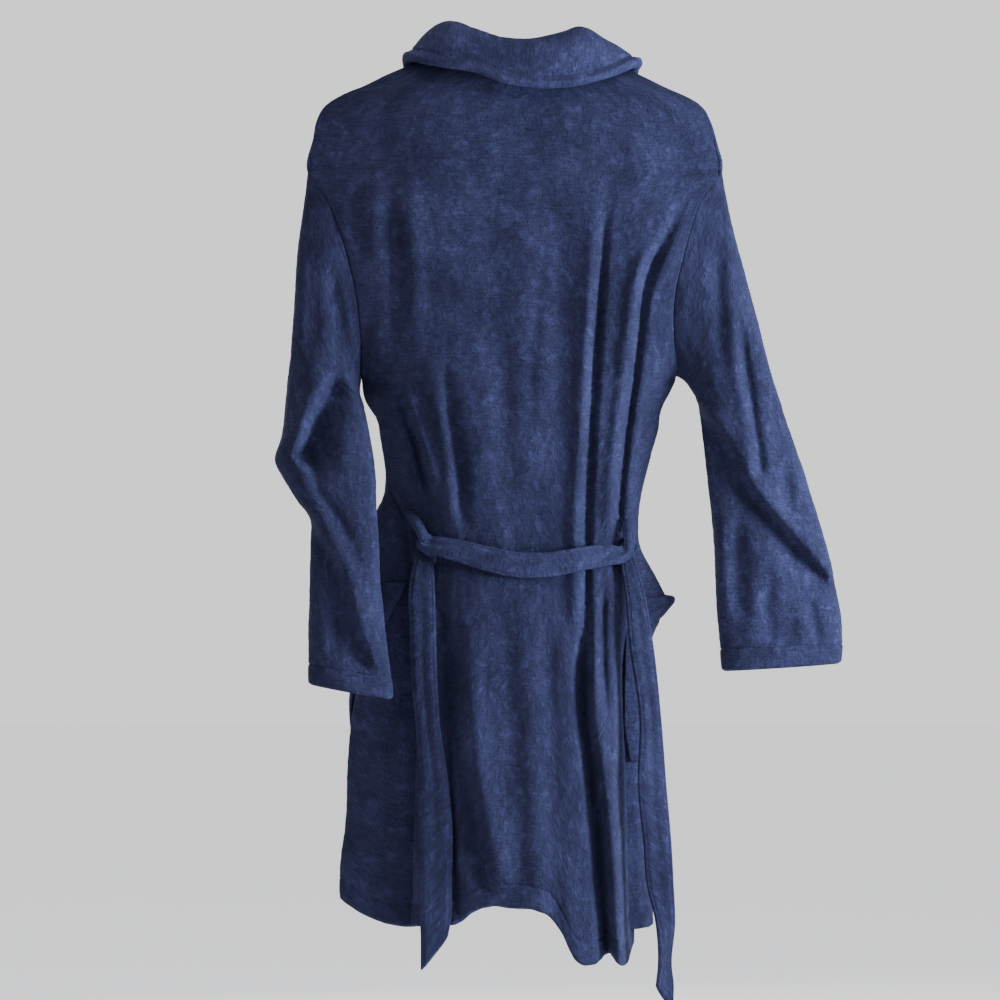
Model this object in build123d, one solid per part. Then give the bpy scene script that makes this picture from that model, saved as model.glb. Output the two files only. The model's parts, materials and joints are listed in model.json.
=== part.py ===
from build123d import *
from math import cos, radians, sin
import os

# A knee-length plush bathrobe, hanging as it does on a clothes hanger.
# Origin: the point inside the back neck from which the robe hangs.
# +Z is up, +Y is towards the wearer's back and +X towards the wearer's left. Millimetres.

# ---- Cloth -------------------------------------------------------------------
CLOTH = 4.0  # one layer of plush
DOUBLE = 7.0  # two layers, at bands and turned hems
ROLL = 8.0  # the padded collar
SEAM_GAP = 1.5  # clear space between pieces that meet
LAY_GAP = 3.0  # clear space under a piece that lies on another

# ---- Body of the robe ---------------------------------------------------------
NECK_Z = -16.0  # height of the neck seam
WAIST_Z = -600.0  # height from which the fronts swing
SKIRT_Z = -760.0  # half way down the skirt
HEM_HEIGHT = 25.0  # depth of a turned hem
BACK_HEM_Z = -1038.0  # middle of the back hem
BACK_HEM_TILT = 9.0  # the back hem drops towards the right, in degrees
BACK_HEM_DEPTH = 84.0  # how far back the middle of the back hem hangs
LEFT_HEM_Z = -1015.0
RIGHT_HEM_Z = -1040.0
SEAM_Y = 14.0  # where the side seams hang, below the waist
LEFT_SEAM_X = 122.0
RIGHT_SEAM_X = -140.0
FRONT_EDGE_X = 13.0  # half of the gap between the two fronts
BAND_WIDTH = 45.0
SHOULDER_TOP = (244.0, -146.0)  # x and z of the top of a sleeve
ARMPIT = (192.0, -393.0)

# Back, row by row from the neck down: height, x of the right side, x of the left
# side, y at the sides and y in the middle.
BACK_ROWS = [
    (NECK_Z, -118, 118, 2, 30),
    (-66, -221, 221, 2, 36),
    (-110, -236, 236, 2, 40),
    (-146, -239, 239, 3, 44),
    (-180, -230, 230, 26, 47),
    (-240, -217, 217, 36, 53),
    (-300, -204, 204, 34, 57),
    (-350, -193, 193, 22, 60),
    (-392, -185, 183, 3, 62),
    (-450, -166, 162, 6, 62),
    (-510, -151, 148, 10, 60),
    (-560, RIGHT_SEAM_X - 3, LEFT_SEAM_X + 3, SEAM_Y, 58),
    (WAIST_Z, RIGHT_SEAM_X, LEFT_SEAM_X, SEAM_Y, 58),
    (-800, RIGHT_SEAM_X, LEFT_SEAM_X, SEAM_Y, 70),
]

# A front above the armpit: height, x of the armhole edge, distance in front of the
# shoulder line there, x of the neck edge, and depth of the middle of the chest.
CHEST_ROWS = [
    (NECK_Z, 118, 2, 92, 28),
    (-66, 221, 2, 76, 34),
    (-110, 236, 2, 63, 38),
    (-146, 239, 3, 55, 42),
    (-180, 230, 26, 48, 45),
    (-240, 217, 36, 38, 51),
    (-300, 204, 34, 29, 55),
    (-350, 193, 22, 21, 58),
    (-392, 183, 3, 16, 60),
]

# A front from the armpit down: height, x and y of the side seam, half width, depth.
LEFT_ROWS = [
    (-450, 162, 3, 168, 61),
    (-510, 147, 7, 158, 62),
    (-560, LEFT_SEAM_X + 3, SEAM_Y - LAY_GAP, 157, 62),
    (WAIST_Z, LEFT_SEAM_X, SEAM_Y - LAY_GAP, 160, 64),
    (SKIRT_Z, LEFT_SEAM_X, SEAM_Y - LAY_GAP, 184, 70),
    (LEFT_HEM_Z, LEFT_SEAM_X, SEAM_Y - LAY_GAP, 202, 80),
]
RIGHT_ROWS = [
    (-450, 166, 3, 172, 61),
    (-510, 150, 7, 156, 62),
    (-560, -RIGHT_SEAM_X + 3, SEAM_Y - LAY_GAP, 150, 62),
    (WAIST_Z, -RIGHT_SEAM_X, SEAM_Y - LAY_GAP, 150, 64),
    (SKIRT_Z, -RIGHT_SEAM_X, SEAM_Y - LAY_GAP, 158, 70),
    (RIGHT_HEM_Z, -RIGHT_SEAM_X, SEAM_Y - LAY_GAP, 164, 80),
]
SKIRT_ANGLES = (6, 25, 45, 62)  # where a skirt row is drawn, from its side to its front
SKIRT_POWER = 0.7  # below 1 the skirt's corner is squarer than an ellipse
BESIDE_SEAM = (0.6, 0.3)  # where the cloth beside a side seam lies, as shares of the way to the corner
CHEST_LOW_Z = CHEST_ROWS[-1][0]
CHEST_LOW_DEPTH = CHEST_ROWS[-1][4]
FRONT_HEIGHTS = (-450, -510, -560, WAIST_Z + SEAM_GAP)  # a front's rows from the armpit to the waist

# A lapel: height and x of its outer edge.
LAPEL_ROWS = [(-24, 132), (-66, 136), (-146, 126), (-240, 108), (-350, 84), (-450, 62), (-530, 50)]

# ---- Sleeves ------------------------------------------------------------------
# Outer x and z, inner x and z, half depth, and y of the middle.
LEFT_SLEEVE = [
    (*SHOULDER_TOP, *ARMPIT, 34, 0),
    (255, -225, 188, -404, 36, 6),
    (264, -330, 182, -424, 35, 22),
    (274, -440, 176, -458, 32, 48),
    (279, -492, 168, -496, 31, 62),
    (256, -536, 163, -530, 31, 70),
    (241, -590, 159, -586, 31, 75),
    (240, -660, 153, -660, 31, 78),
    (241, -722, 146, -730, 31, 80),
]
RIGHT_SLEEVE = [
    (*SHOULDER_TOP, *ARMPIT, 34, 0),
    (262, -225, 196, -394, 36, 3),
    (286, -315, 206, -402, 36, 8),
    (314, -420, 218, -430, 34, 14),
    (347, -520, 227, -505, 33, 20),
    (372, -605, 234, -600, 32, 25),
    (384, -694, 241, -700, 31, 28),
]

# ---- Pockets ------------------------------------------------------------------
POCKET_HEIGHT = 190.0
POCKET_TOP_Z = -640.0
POCKET_LIFT = 2.5  # clear space between a pocket and its front
# Share of the way down, how far the pocket stands open, and share of its corner's lift.
POCKET_ROWS = ((0.0, 16, 1.0), (0.3, 14, 0.4), (0.7, 10, 0.0), (1.0, 0, 0.0))
# Shares of the mouth's opening and of the corner's lift, from the pocket's side to its front edge.
POCKET_SWELLS = ((0.0, 1.0), (0.6, 0.3), (1.0, 0.0), (0.5, 0.0))

# ---- Collar -------------------------------------------------------------------
COLLAR_HALF_CHORD = 135.0  # half the distance between the collar's two ends
COLLAR_MIDDLE_X = -7.0
COLLAR_MIDDLE_Y = 49.0  # the outer face behind the neck
COLLAR_END_Y = -5.0
COLLAR_TOP_Z = 26.0
COLLAR_FALL_Z = -47.0  # lower edge of the fall behind the neck
COLLAR_FOLD = 20.0  # from the fall's outer face to the stand's inner face
COLLAR_ROUND = 7.0

# ---- Belt ---------------------------------------------------------------------
BELT_THICKNESS = 5.0
BELT_HEIGHT = 26.0  # the belt bunches up where it goes round the back
LOOP_WIDTH = 10.0
LOOP_HEIGHT = 56.0
LOOP_DEPTH = 13.0
LOOP_TAPE = 3.0
LEFT_LOOP = (107.0, 36.0, -583.0)  # x of the middle, y of the face on the robe, z of the middle
RIGHT_LOOP = (-129.0, 31.0, -593.0)
# Middle of the belt, from the left loop to the right one.
BELT_ROUTE = [
    (112, 42.5, -583), (100, 42.5, -584), (86, 48, -586), (60, 58, -592), (20, 63.5, -603),
    (-30, 64, -608), (-75, 61, -601), (-108, 47, -594), (-122, 37.5, -593), (-135, 37.5, -593),
]
# Each tail: y of its inner face at the top, lean in degrees, and its outline in x and z.
LEFT_TAIL_Y = 46.0
LEFT_TAIL_LEAN = 3.2
LEFT_TAIL = [
    (98, -613), (116, -613), (122, -677), (121, -745), (113, -850), (112, -985), (106, -1081),
    (79, -1041), (74, -985), (76, -870), (91, -745), (94, -677),
]
RIGHT_TAIL_Y = 36.0
RIGHT_TAIL_LEAN = 1.5
RIGHT_TAIL = [
    (-139, -623), (-122, -623), (-132, -680), (-147, -790), (-145, -867), (-153, -985), (-163, -1060),
    (-165, -1100), (-187, -1132), (-188, -1024), (-182, -930), (-172, -790), (-154, -660),
]

# ---- Inside the neck ------------------------------------------------------------
HANG_LOOP_HALF = 34.0
HANG_LOOP_DROP = 26.0
HANG_LOOP_TAPE = 2.0
HANG_LOOP_WIDTH = 6.0
HANG_LOOP_Y = 15.0
LABEL_SIZE = (50.0, 0.8, 24.0)
LABEL_MIDDLE = (0.0, 28.3, -62.0)


def crown(share):
    """Height of a hanging panel's bow at a share of its half width."""
    return max(0.0, 1.0 - abs(share) ** 3)


def between(rows, z):
    """The row at height z, worked out from the rows above and below it."""
    for upper, lower in zip(rows, rows[1:]):
        if lower[0] <= z <= upper[0]:
            share = (upper[0] - z) / (upper[0] - lower[0])
            return tuple(a + (b - a) * share for a, b in zip(upper, lower))
    return rows[-1]


def back_line(x_low, x_high, side_y, middle_y):
    """A line across the back, from the right side to the left side."""
    middle = (x_low + x_high) / 2
    half = (x_high - x_low) / 2
    shares = [-1 + step / 4 for step in range(9)]
    return [(middle + half * s, side_y + (middle_y - side_y) * crown(s)) for s in shares]


def chest_line(x_out, side, x_in, depth):
    """A line across a front above the armpit, from the armhole to the neck edge."""
    xs = [x_out + (x_in - x_out) * step / 5 for step in range(6)]
    return [(x, -side - (depth - side) * crown(x / x_out)) for x in xs]


def round_corner(width, depth, angle):
    """A point on a skirt's outline, at an angle from its side."""
    return (width * cos(radians(angle)) ** SKIRT_POWER, -depth * sin(radians(angle)) ** SKIRT_POWER)


def skirt_line(seam_x, seam_y, width, depth, edge):
    """A line across a front below the armpit, from the side seam to its front edge."""
    corner = [round_corner(width, depth, angle) for angle in SKIRT_ANGLES]
    side_x, side_y = corner[0]
    out, forward = BESIDE_SEAM
    beside_seam = (seam_x + out * (side_x - seam_x), seam_y + forward * (side_y - seam_y))
    return [(seam_x, seam_y), beside_seam, *corner, (edge, -depth)]


def strip(outer, inner, z, side=1, tilt=0.0):
    """A thin section of cloth at height z, between its outer and inner lines."""
    outer = [(side * x, y) for x, y in outer]
    inner = [(side * x, y) for x, y in inner]
    slope = radians(tilt)
    plane = Plane(origin=(0, 0, z), x_dir=(cos(slope), 0, sin(slope)), z_dir=(-sin(slope), 0, cos(slope)))
    ends = [Line(outer[-1], inner[-1]), Line(inner[0], outer[0])]
    return plane * make_face(Wire([Spline(*outer), ends[0], Spline(*inner), ends[1]]))


def panel(sections):
    """A sheet of cloth through its thin sections, from the top down."""
    return loft(sections, ruled=True)


def back_section(z, x_low, x_high, side_y, middle_y, thickness, tilt=0.0):
    """One section across the back."""
    outer = back_line(x_low, x_high, side_y, middle_y)
    inner = back_line(x_low + thickness, x_high - thickness, side_y, middle_y - thickness)
    return strip(outer, inner, z, tilt=tilt)


def chest_section(z, x_out, side_gap, x_in, depth, side):
    """One section across a front above the armpit."""
    outer = chest_line(x_out, side_gap, x_in, depth)
    inner = chest_line(x_out - CLOTH, side_gap, x_in, depth - CLOTH)
    return strip(outer, inner, z, side)


def skirt_section(rows, z, side, thickness, edge):
    """One section across a front below the armpit."""
    _, seam_x, seam_y, width, depth = between(rows, z)
    outer = skirt_line(seam_x, seam_y, width, depth, edge)
    seam_inner_x = seam_x - BESIDE_SEAM[1] * thickness
    inner = skirt_line(seam_inner_x, seam_y - thickness, width - thickness, depth - thickness, edge)
    return strip(outer, inner, z, side)


def oval(half_long, half_short):
    """An oval face, drawn as two halves."""
    points = [(half_long * cos(radians(a)), half_short * sin(radians(a))) for a in range(0, 361, 30)]
    return make_face(Wire([Spline(*points[:7]), Spline(*points[6:])]))


def tube(rows, side, inset=0.0):
    """A sleeve's space through its oval sections."""
    ovals = []
    for outer_x, outer_z, inner_x, inner_z, half_depth, y in rows:
        outer = Vector(side * outer_x, y, outer_z)
        inner = Vector(side * inner_x, y, inner_z)
        across = outer - inner
        plane = Plane(origin=(outer + inner) / 2, x_dir=across, z_dir=across.cross(Vector(0, 1, 0)))
        ovals.append(plane * oval(across.length / 2 - inset, half_depth - inset))
    return loft(ovals, ruled=True)


def open_tube(rows, side, thickness):
    """A tube of cloth, open at both ends."""
    return tube(rows, side) - tube(rows, side, thickness)


def cuff_hem(rows, side):
    """The turned hem that carries on from the end of a sleeve."""
    outer_x, outer_z, inner_x, inner_z, half_depth, y = rows[-1]
    start = (outer_x, outer_z - SEAM_GAP, inner_x, inner_z - SEAM_GAP, half_depth + 1, y)
    end = (outer_x + 1, outer_z - HEM_HEIGHT, inner_x - 2, inner_z - HEM_HEIGHT, half_depth + 1, y + 1)
    return open_tube([start, end], side, DOUBLE)


def back_panel():
    """The whole back, from the neck seam to the top of its hem."""
    sections = [back_section(*row, CLOTH) for row in BACK_ROWS]
    hem_row = (BACK_HEM_Z + HEM_HEIGHT, RIGHT_SEAM_X, LEFT_SEAM_X, SEAM_Y, BACK_HEM_DEPTH - 2)
    sections.append(back_section(*hem_row, CLOTH, BACK_HEM_TILT))
    return panel(sections)


def back_hem():
    """The turned hem along the bottom of the back."""
    sections = []
    for z in (BACK_HEM_Z + HEM_HEIGHT - SEAM_GAP, BACK_HEM_Z):
        row = (z, RIGHT_SEAM_X, LEFT_SEAM_X, SEAM_Y, BACK_HEM_DEPTH)
        sections.append(back_section(*row, DOUBLE, BACK_HEM_TILT))
    return panel(sections)


def front_upper(rows, side):
    """A front from its shoulder seam to the waist."""
    sections = [chest_section(*row, side) for row in CHEST_ROWS]
    for z in FRONT_HEIGHTS:
        sections.append(skirt_section(rows, z, side, CLOTH, FRONT_EDGE_X))
    return panel(sections)


def front_skirt(rows, side, hem_z):
    """A front from the waist to the top of its hem, as far as its band."""
    heights = (WAIST_Z - SEAM_GAP, SKIRT_Z, hem_z + HEM_HEIGHT)
    return panel([skirt_section(rows, z, side, CLOTH, FRONT_EDGE_X + BAND_WIDTH) for z in heights])


def front_hem(rows, side, hem_z):
    """The turned hem along the bottom of a front."""
    heights = (hem_z + HEM_HEIGHT - SEAM_GAP, hem_z)
    return panel([skirt_section(rows, z, side, DOUBLE, FRONT_EDGE_X + BAND_WIDTH) for z in heights])


def front_depth(rows, x, z):
    """How far in front of the shoulder line a front's outer face is, at x and z."""
    if z < CHEST_LOW_Z:
        return between([(CHEST_LOW_Z, 0, 0, 0, CHEST_LOW_DEPTH), *rows], z)[4]
    _, x_out, side_gap, _, depth = between(CHEST_ROWS, z)
    return side_gap + (depth - side_gap) * crown(x / x_out)


def flat_section(rows, z, side, x_out, x_in, lift, thickness):
    """One section of a doubled edge that lies along a front."""
    xs = [x_out + (x_in - x_out) * step / 3 for step in range(4)]
    outer = [(x, -front_depth(rows, x, z) - lift - thickness) for x in xs]
    inner = [(x, y + thickness) for x, y in outer]
    return strip(outer, inner, z, side)


def front_band(rows, side, hem_z):
    """The doubled band down the edge of a front, in line with the front's own cloth."""
    x_out = FRONT_EDGE_X + BAND_WIDTH - SEAM_GAP
    heights = (WAIST_Z - SEAM_GAP, SKIRT_Z, hem_z)
    return panel([flat_section(rows, z, side, x_out, FRONT_EDGE_X, -DOUBLE + 1, DOUBLE) for z in heights])


def lapel(rows, side):
    """The half of the shawl collar that lies on a front, from the shoulder to the waist."""
    sections = []
    for z, x_out in LAPEL_ROWS:
        x_in = between(CHEST_ROWS, z)[3] if z > CHEST_LOW_Z else FRONT_EDGE_X
        sections.append(flat_section(rows, z, side, x_out, x_in, LAY_GAP, ROLL))
    return panel(sections)


def pocket(rows, side, corner_lift):
    """A patch pocket: close to the front at its sides and bottom, standing open at its top."""
    sections = []
    for share, mouth, corner_share in POCKET_ROWS:
        z = POCKET_TOP_Z - POCKET_HEIGHT * share
        _, _, _, width, depth = between(rows, z)
        corner = corner_lift * corner_share
        inner = []
        outer = []
        for angle, (mouth_part, corner_part) in zip(SKIRT_ANGLES, POCKET_SWELLS):
            lift = POCKET_LIFT + mouth_part * mouth + corner_part * corner
            inner.append(round_corner(width + lift, depth + lift, angle))
            outer.append(round_corner(width + lift + CLOTH, depth + lift + CLOTH, angle))
        sections.append(strip(outer, inner, z, side))
    return panel(sections)


def shoulder_block(gap):
    """The space that the shoulders fill, with a clear gap round it."""
    sections = []
    for (z, x_low, x_high, side_y, middle_y), chest_row in zip(BACK_ROWS[:3], CHEST_ROWS):
        _, _, chest_side, _, chest_depth = chest_row
        behind = back_line(x_low - gap, x_high + gap, side_y, middle_y + gap)
        chest = back_line(x_low - gap, x_high + gap, chest_side, chest_depth + gap)
        ahead = [(x, -y) for x, y in chest]
        sections.append(Pos(0, 0, z + gap) * make_face(Polyline(*behind, *reversed(ahead), behind[0])))
    return loft(sections, ruled=True)


def back_collar():
    """The folded collar round the back of the neck: an inner stand and an outer fall."""
    bow = COLLAR_MIDDLE_Y - COLLAR_END_Y
    radius = (COLLAR_HALF_CHORD**2 + bow**2) / (2 * bow)
    centre = Vector(COLLAR_MIDDLE_X, COLLAR_MIDDLE_Y - radius, 0)
    left_end = Vector(COLLAR_MIDDLE_X + COLLAR_HALF_CHORD, COLLAR_END_Y, 0)
    inward = (centre - left_end).normalized()
    # In this plane x runs inward from the fall's outer face, and y runs up.
    plane = Plane(origin=left_end, x_dir=inward, z_dir=inward.cross(Vector(0, 0, 1)))
    stand_z = NECK_Z + 2
    under_fold = COLLAR_TOP_Z - ROLL
    outline = Polyline(
        (0, COLLAR_FALL_Z),
        (0, COLLAR_TOP_Z - COLLAR_ROUND),
        (COLLAR_ROUND, COLLAR_TOP_Z),
        (COLLAR_FOLD - COLLAR_ROUND, COLLAR_TOP_Z),
        (COLLAR_FOLD, COLLAR_TOP_Z - COLLAR_ROUND),
        (COLLAR_FOLD, stand_z),
        (COLLAR_FOLD - ROLL, stand_z),
        (COLLAR_FOLD - ROLL, under_fold),
        (ROLL, under_fold),
        (ROLL, COLLAR_FALL_Z),
        (0, COLLAR_FALL_Z),
    )
    turn = 2 * (left_end - centre).get_angle(Vector(0, 1, 0))
    ring = revolve(plane * make_face(outline), Axis(centre, (0, 0, 1)), revolution_arc=turn)
    return max((ring - shoulder_block(SEAM_GAP)).solids(), key=lambda solid: solid.volume)


def hang_loop():
    """The tape loop inside the back neck, by which the robe can hang from a hook."""
    half = HANG_LOOP_HALF - HANG_LOOP_TAPE
    outer = ThreePointArc((-HANG_LOOP_HALF, NECK_Z), (0, NECK_Z - HANG_LOOP_DROP), (HANG_LOOP_HALF, NECK_Z))
    inner = ThreePointArc((half, NECK_Z), (0, NECK_Z - HANG_LOOP_DROP + HANG_LOOP_TAPE), (-half, NECK_Z))
    ends = [Line(outer @ 1, inner @ 0), Line(inner @ 1, outer @ 0)]
    face = Plane.XZ.offset(-HANG_LOOP_Y) * make_face(Wire([outer, ends[0], inner, ends[1]]))
    return extrude(face, HANG_LOOP_WIDTH, dir=(0, 1, 0))


def neck_label():
    """The blank label below the hang loop."""
    return Pos(*LABEL_MIDDLE) * Box(*LABEL_SIZE)


def belt_loop(x, y, z):
    """A belt loop: a flat tape that stands off the robe and leaves room for the belt."""
    outside = Box(LOOP_WIDTH, LOOP_DEPTH, LOOP_HEIGHT)
    inside = Box(2 * LOOP_WIDTH, LOOP_DEPTH - 2 * LOOP_TAPE, LOOP_HEIGHT - 2 * LOOP_TAPE)
    return Pos(x, y + LOOP_DEPTH / 2, z) * (outside - inside)


def belt_back_span():
    """The belt across the back, from one loop to the other, sagging in the middle."""
    sections = []
    for point in BELT_ROUTE:
        plane = Plane(origin=point, x_dir=(0, 1, 0), z_dir=(1, 0, 0))
        sections.append(plane * Rectangle(BELT_THICKNESS, BELT_HEIGHT))
    return loft(sections, ruled=True)


def belt_tail(outline, y, lean):
    """A free end of the belt below its loop, leaning out over the hem."""
    face = Plane.XZ.offset(-y) * make_face(Polyline(*outline, outline[0]))
    strap = extrude(face, BELT_THICKNESS, dir=(0, 1, 0))
    return strap.rotate(Axis((0, y, outline[0][1]), (1, 0, 0)), lean)


shapes = {
    "back_panel": back_panel(),
    "back_hem": back_hem(),
    "back_collar": back_collar(),
    "hang_loop": hang_loop(),
    "neck_label": neck_label(),
    "left_belt_loop": belt_loop(*LEFT_LOOP),
    "right_belt_loop": belt_loop(*RIGHT_LOOP),
    "belt_back_span": belt_back_span(),
    "left_belt_tail": belt_tail(LEFT_TAIL, LEFT_TAIL_Y, LEFT_TAIL_LEAN),
    "right_belt_tail": belt_tail(RIGHT_TAIL, RIGHT_TAIL_Y, RIGHT_TAIL_LEAN),
}
for name, side, rows, sleeve_rows, hem_z, corner_lift in (
    ("left", 1, LEFT_ROWS, LEFT_SLEEVE, LEFT_HEM_Z, 4),
    ("right", -1, RIGHT_ROWS, RIGHT_SLEEVE, RIGHT_HEM_Z, 26),
):
    shapes[f"{name}_front_upper"] = front_upper(rows, side)
    shapes[f"{name}_front_skirt"] = front_skirt(rows, side, hem_z)
    shapes[f"{name}_front_hem"] = front_hem(rows, side, hem_z)
    shapes[f"{name}_front_band"] = front_band(rows, side, hem_z)
    shapes[f"{name}_lapel"] = lapel(rows, side)
    shapes[f"{name}_pocket"] = pocket(rows, side, corner_lift)
    shapes[f"{name}_sleeve"] = open_tube(sleeve_rows, side, CLOTH)
    shapes[f"{name}_cuff_hem"] = cuff_hem(sleeve_rows, side)

os.makedirs("parts", exist_ok=True)
for node, shape in shapes.items():
    export_step(shape, f"parts/{node}.step")
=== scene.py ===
import json
from math import pi, radians

import bpy
import numpy as np
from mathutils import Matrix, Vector, noise


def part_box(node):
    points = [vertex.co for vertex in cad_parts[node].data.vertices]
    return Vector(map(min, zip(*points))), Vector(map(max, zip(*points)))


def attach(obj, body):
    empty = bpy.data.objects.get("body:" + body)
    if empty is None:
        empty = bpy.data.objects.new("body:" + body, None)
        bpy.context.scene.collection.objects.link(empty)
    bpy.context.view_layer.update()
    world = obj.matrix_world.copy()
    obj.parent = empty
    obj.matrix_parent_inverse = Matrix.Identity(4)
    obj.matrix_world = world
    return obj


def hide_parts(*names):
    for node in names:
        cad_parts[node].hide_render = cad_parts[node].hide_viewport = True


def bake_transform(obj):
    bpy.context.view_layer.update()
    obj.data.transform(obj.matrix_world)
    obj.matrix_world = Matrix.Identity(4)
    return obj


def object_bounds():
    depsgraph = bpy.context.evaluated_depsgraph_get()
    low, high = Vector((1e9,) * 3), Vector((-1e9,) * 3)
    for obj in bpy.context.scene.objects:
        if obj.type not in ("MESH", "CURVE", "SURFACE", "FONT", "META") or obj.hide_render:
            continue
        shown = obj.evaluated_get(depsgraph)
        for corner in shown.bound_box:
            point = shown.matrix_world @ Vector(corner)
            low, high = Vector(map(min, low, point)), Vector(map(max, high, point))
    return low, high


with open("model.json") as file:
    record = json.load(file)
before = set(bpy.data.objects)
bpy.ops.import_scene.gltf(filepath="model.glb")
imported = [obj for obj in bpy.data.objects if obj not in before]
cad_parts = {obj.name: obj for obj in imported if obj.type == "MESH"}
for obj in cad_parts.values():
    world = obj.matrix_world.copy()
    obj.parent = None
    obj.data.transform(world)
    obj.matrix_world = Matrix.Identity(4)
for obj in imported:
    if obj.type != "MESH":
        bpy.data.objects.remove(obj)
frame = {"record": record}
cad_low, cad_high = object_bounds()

# A plush bathrobe that hangs from its neck with its back to the camera. Lengths in the lists below are
# in millimetres of the robe's design size. A drop is measured down from the point it hangs from, +y is
# towards the wearer's back, and +x is towards the wearer's left.

# ---- Places from the frame ----
DESIGN_BACK_HEIGHT = 1018.9
back_low, back_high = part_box("back_panel")
MM = (back_high.z - back_low.z) / DESIGN_BACK_HEIGHT
MOUNTS = {mount["name"]: mount for mount in frame["record"]["mounts"]}
HANG_POINT = np.array(MOUNTS["hanger_rest"]["pos_m"])


def mm_box(node):
    """A node's lowest and highest corners in millimetres from the hanging point."""
    low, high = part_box(node)
    return (np.array(low) - HANG_POINT) / MM, (np.array(high) - HANG_POINT) / MM


# ---- Cloth ----
CLOTH = 4.0  # thickness of one layer of plush
DOUBLE = 6.0  # thickness where it is turned in and stitched
COLLAR_CLOTH = 6.0
HEM = 25.0
HEM_ROWS = 14
NAP_HEIGHT, NAP_SIZE = 0.5, 7.0  # roughness of the pile
SLACK_HEIGHT, SLACK_SIZE = 2.2, (70, 70, 130)  # slow waves in the hanging cloth
RIPPLE_SHARE, RIPPLE_SIZE = 0.35, (24, 24, 40)  # and quicker, lower ones

# A groove's ridge against the groove itself: its height, its distance and its width.
RIDGE_HEIGHT, RIDGE_AWAY, RIDGE_WIDTH = 0.6, 2.2, 1.5
STEP_RISE = 0.55  # how far the upper side of a step stands up, against its depth
STEP_EDGE = 2.4  # half the width over which one fold drops to the cloth it laps over

NECK_DROP = 16.0  # where the cloth starts, under the collar
BELT_DROP = 600.0
ARMHOLE_TOP = 144.0
ARMHOLE_LOW = 388.0
ARMHOLE_DEPTH = 34.0


# ---- Small tools for curves and surfaces ----
def smooth(points):
    """A smooth function through rows of (where, value, ...)."""
    where = np.array([p[0] for p in points], float)
    values = np.array([p[1:] for p in points], float)
    slopes = np.gradient(values, where, axis=0)

    def at(x):
        x = np.clip(np.asarray(x, float), where[0], where[-1])
        i = np.clip(np.searchsorted(where, x) - 1, 0, len(where) - 2)
        step = (where[i + 1] - where[i])[..., None]
        s = (x - where[i])[..., None] / step
        start = (1 + 2 * s) * (1 - s) ** 2 * values[i] + s * (1 - s) ** 2 * step * slopes[i]
        end = s**2 * (3 - 2 * s) * values[i + 1] + s**2 * (s - 1) * step * slopes[i + 1]
        found = start + end
        return found[..., 0] if values.shape[1] == 1 else found

    return at


def run_along(points):
    """The distance along a line of points, from its start to each of them."""
    return np.concatenate([[0], np.cumsum(np.linalg.norm(np.diff(points, axis=0), axis=1))])


def unit(vectors):
    return vectors / np.maximum(np.linalg.norm(vectors, axis=-1, keepdims=True), 1e-9)


def along(points, count):
    """Evenly spaced points on the smooth line through a list of points."""
    where = run_along(np.array(points, float))
    line = smooth([(w, *p) for w, p in zip(where, points)])
    return line(np.linspace(0, where[-1], count))


def ease(x, start, end):
    """0 before start, 1 after end, and smooth between."""
    s = np.clip((x - start) / (end - start), 0, 1)
    return s * s * (3 - 2 * s)


def bell(x):
    return np.exp(-x * x)


def nearest_on(line, x, drop):
    """For each point: how far it is beside a line, past the line's ends, and its share along it."""
    tangent = unit(np.gradient(line, axis=0))
    across = x[..., None] - line[:, 0]
    down = drop[..., None] - line[:, 1]
    nearest = np.argmin(across**2 + down**2, axis=-1)
    dx = np.take_along_axis(across, nearest[..., None], -1)[..., 0]
    dz = np.take_along_axis(down, nearest[..., None], -1)[..., 0]
    t = tangent[nearest]
    side = dx * t[..., 1] - dz * t[..., 0]
    past = np.abs(dx * t[..., 0] + dz * t[..., 1])
    return side, past, nearest / (len(line) - 1)


def creases(folds, x, drop):
    """How far the cloth is drawn in at each (x, drop). Each fold is (path, depth, width, lean, fade at
    its start, fade at its end). A groove has a ridge on the side that lean points to, and with a lean
    of 2 or -2 it is a step: cloth that laps over its neighbour on the other side of the path."""
    total = np.zeros_like(x)
    for path, depth, width, lean, fade_start, fade_end in folds:
        side, past, share = nearest_on(along(path, 60), x, drop)
        strength = bell(past / (width * 1.5))
        if fade_start:
            strength = strength * ease(share, 0, fade_start)
        if fade_end:
            strength = strength * ease(1 - share, 0, fade_end)
        if abs(lean) == 2:
            beyond = side * np.sign(lean)
            sunk = 1 / (1 + np.exp(np.clip(beyond / STEP_EDGE, -30, 30)))
            shape = bell(beyond / width) * (sunk - STEP_RISE * (1 - sunk))
        else:
            beside = (side - lean * RIDGE_AWAY * width) / (RIDGE_WIDTH * width)
            ridge = RIDGE_HEIGHT * bell(beside) if lean else 0
            shape = bell(side / width) - ridge
        total += depth * strength * shape
    return total


def wave(point, size, shift):
    return noise.noise(Vector((point.x / size[0], point.y / size[1], point.z / size[2])) + shift)


def unevenness(points, seed):
    """Slow waves in hanging cloth and the roughness of its pile, for each point."""
    flat = points.reshape(-1, 3)
    shift = Vector((seed * 7.3, seed * 3.1, seed * 5.7))
    found = np.empty(len(flat))
    for i, point in enumerate(flat):
        point = Vector(point)
        slack = wave(point, SLACK_SIZE, shift) + RIPPLE_SHARE * wave(point, RIPPLE_SIZE, shift)
        found[i] = SLACK_HEIGHT * slack + NAP_HEIGHT * noise.noise(point / NAP_SIZE + shift)
    return found.reshape(points.shape[:-1])


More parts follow.
